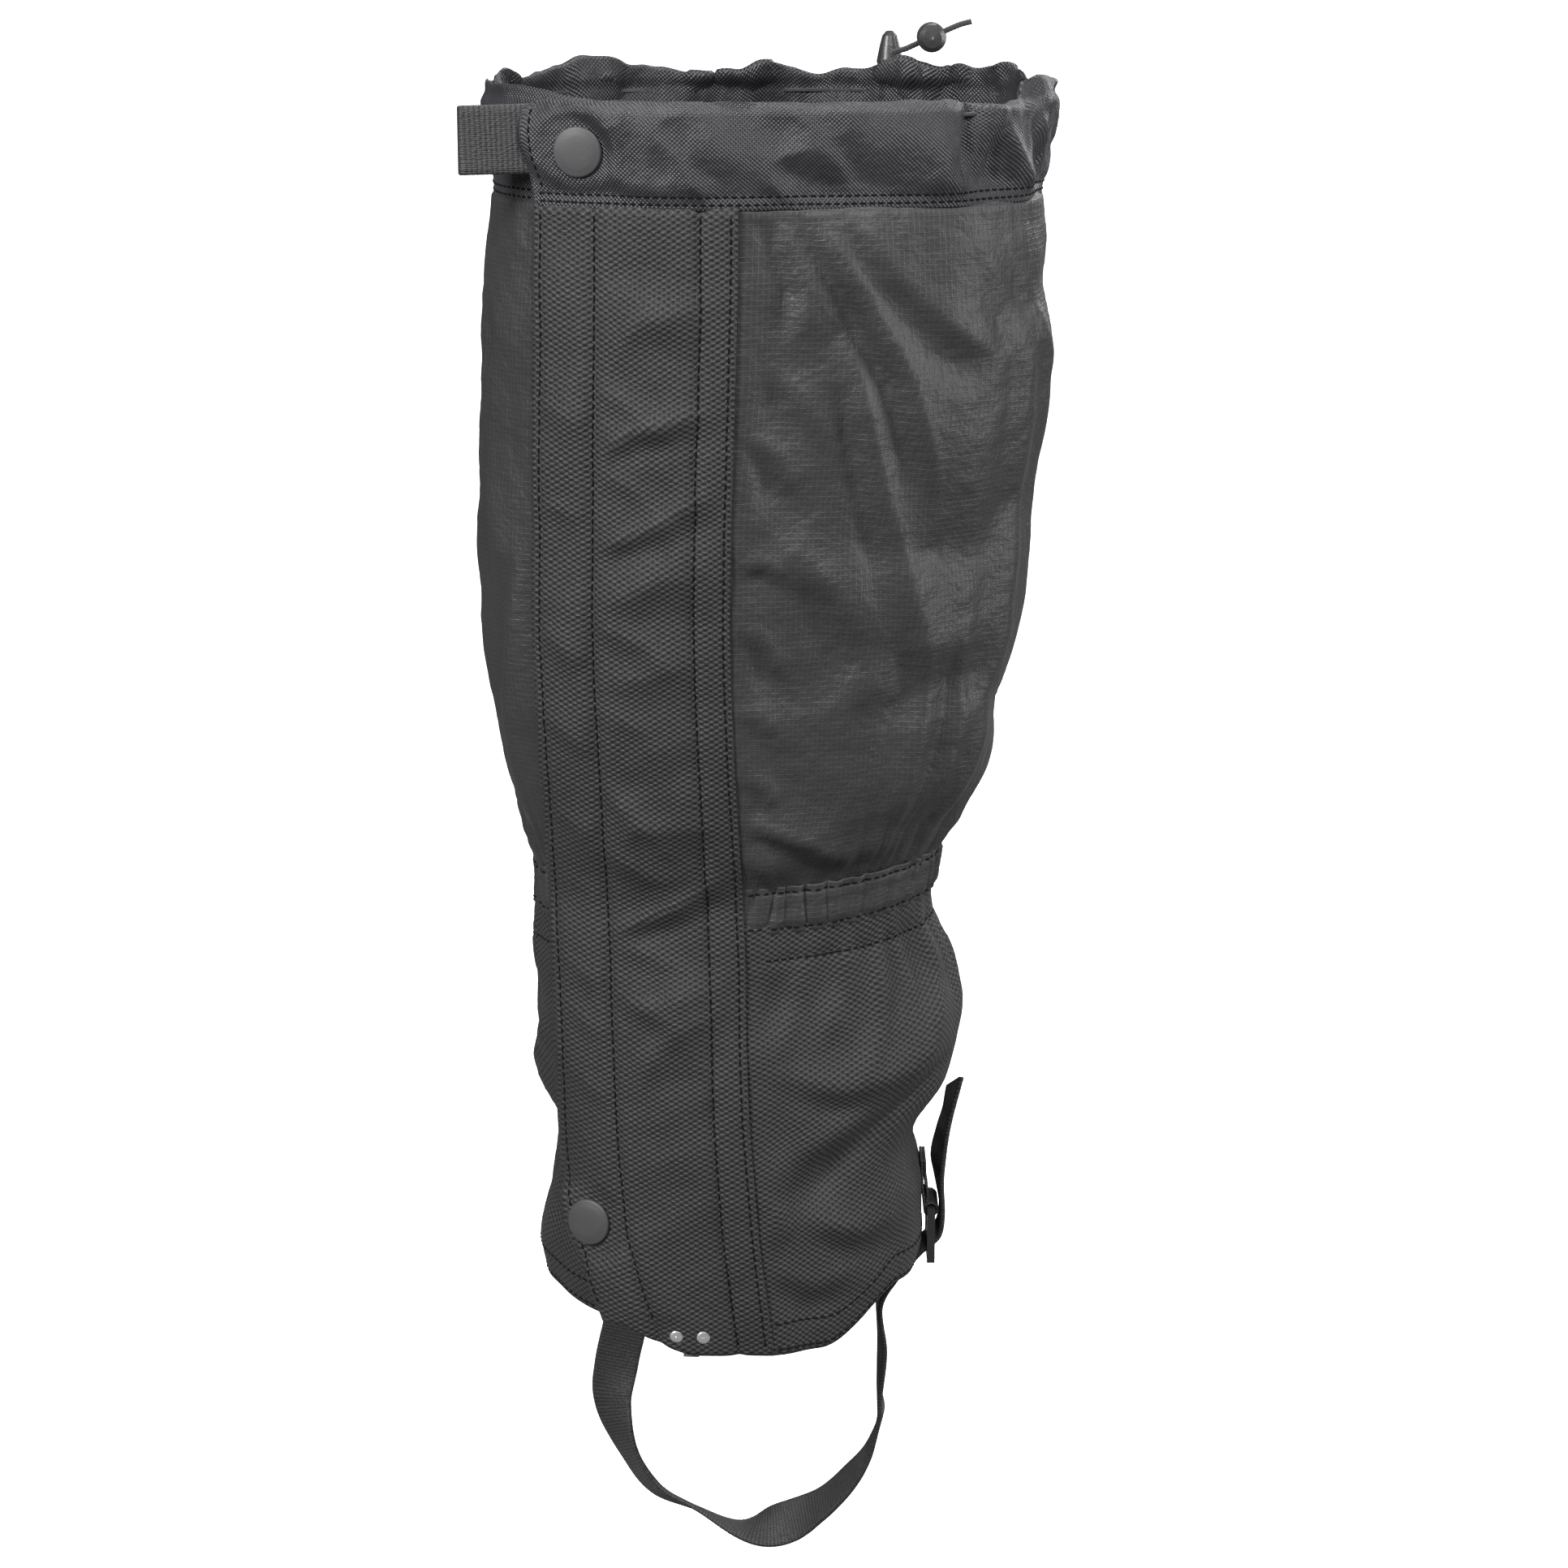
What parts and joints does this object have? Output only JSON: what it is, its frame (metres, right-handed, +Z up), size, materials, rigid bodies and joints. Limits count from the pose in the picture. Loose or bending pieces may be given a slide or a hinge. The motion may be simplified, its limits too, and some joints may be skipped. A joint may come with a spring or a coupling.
{
  "type": "hiking gaiter",
  "caption": "Stuffed upright calf gaiter: wrapped fabric tube with opening front flap, elastic ankle, drawcord band, lace hook and adjustable stirrup strap.",
  "frame": {"origin": "in the boot opening, level with the front hem, 6.5 mm towards +X from the opening's middle so that it lies under the calf", "axes": "+Z up the leg, +X across the tube to the buckle side, -Y out of the closure flap"},
  "size_m": [0.1759, 0.1262, 0.5103],
  "materials": {
    "ripstop": "thin coated ripstop nylon with a fine grid and a soft sheen",
    "oxford": "coarse basket-weave oxford nylon, matte",
    "band_twill": "folded twill band with a diagonal sheen",
    "elastic_cord": "braided elastic cord",
    "elastic": "woven elastic tape",
    "hook_and_loop": "hook and loop tape",
    "webbing": "ribbed polyester webbing",
    "steel": "nickel-plated pressed steel",
    "rivet_chrome": "bright rivet heads",
    "snap_enamel": "satin dark grey enamel over a pressed brass cap",
    "moulded_plastic": "satin moulded acetal",
    "gloss_plastic": "dark gloss moulded acetal"
  },
  "bodies": {
    "gaiter": {"upper_left_panel": "ripstop", "upper_right_panel": "ripstop", "lower_left_panel": "oxford", "lower_right_panel": "oxford", "top_band": "band_twill", "band_lining": "band_twill", "drawcord": "elastic_cord", "cord_eyelets": "steel", "cord_tail": "elastic_cord", "underlap_placket": "oxford", "loop_strip": "hook_and_loop", "snap_studs": "steel", "snap_posts": "steel", "ankle_casing": "ripstop", "ankle_elastic": "elastic", "hem_tape": "webbing", "strap_anchor": "webbing"},
    "flap": {"closure_flap": "oxford", "band_front_end": "band_twill", "hook_strip": "hook_and_loop", "snap_caps": "snap_enamel", "snap_sockets": "steel", "lace_hook": "steel", "lace_hook_rivets": "rivet_chrome"},
    "pull_tab": {"pull_tab": "webbing"},
    "cord_lock": {"cord_lock_body": "moulded_plastic", "cord_lock_spring": "steel"},
    "lock_plunger": {"cord_lock_plunger": "moulded_plastic"},
    "bell": {"bell_cord": "elastic_cord", "cord_bell": "moulded_plastic"},
    "strap": {"stirrup_strap": "webbing", "strap_tail": "webbing", "buckle_tab": "webbing"},
    "buckle": {"strap_buckle": "gloss_plastic"}
  },
  "joints": [
    {"name": "flap_open", "type": "hinge", "parent": "gaiter", "child": "flap", "pos_m": [-0.001, -0.0616, 0.2], "axis": [0, 0, 1], "range_deg": [0, 140]},
    {"name": "pull_tab_flex", "type": "hinge", "parent": "flap", "child": "pull_tab", "pos_m": [-0.0645, -0.0458, 0.383], "axis": [0, 0, 1], "range_deg": [-35, 70], "stiffness_Nm_per_rad": 0.01},
    {"name": "cord_lock_slide", "type": "slide", "parent": "gaiter", "child": "cord_lock", "axis": [0.9135, 0, 0.4067], "range_m": [0, 0.007]},
    {"name": "plunger_press", "type": "slide", "parent": "cord_lock", "child": "lock_plunger", "axis": [0, 1, 0], "range_m": [0, 0.002], "stiffness_N_per_m": 400, "springref_m": -0.003, "deforming": ["cord_lock_spring"]},
    {"name": "bell_swing", "type": "hinge", "parent": "gaiter", "child": "bell", "pos_m": [0.044, 0.0605, 0.393], "axis": [-1, 0, 0], "range_deg": [0, 70], "stiffness_Nm_per_rad": 0.001},
    {"name": "strap_swing", "type": "hinge", "parent": "gaiter", "child": "strap", "pos_m": [0.0585, 0.003, 0.03], "axis": [0.9419, -0.291, 0.168], "range_deg": [-25, 15], "stiffness_Nm_per_rad": 0.05},
    {"name": "buckle_tilt", "type": "hinge", "parent": "strap", "child": "buckle", "pos_m": [0.0585, 0.003, 0.03], "axis": [0, -1, 0], "range_deg": [0, 35], "stiffness_Nm_per_rad": 0.003}
  ]
}
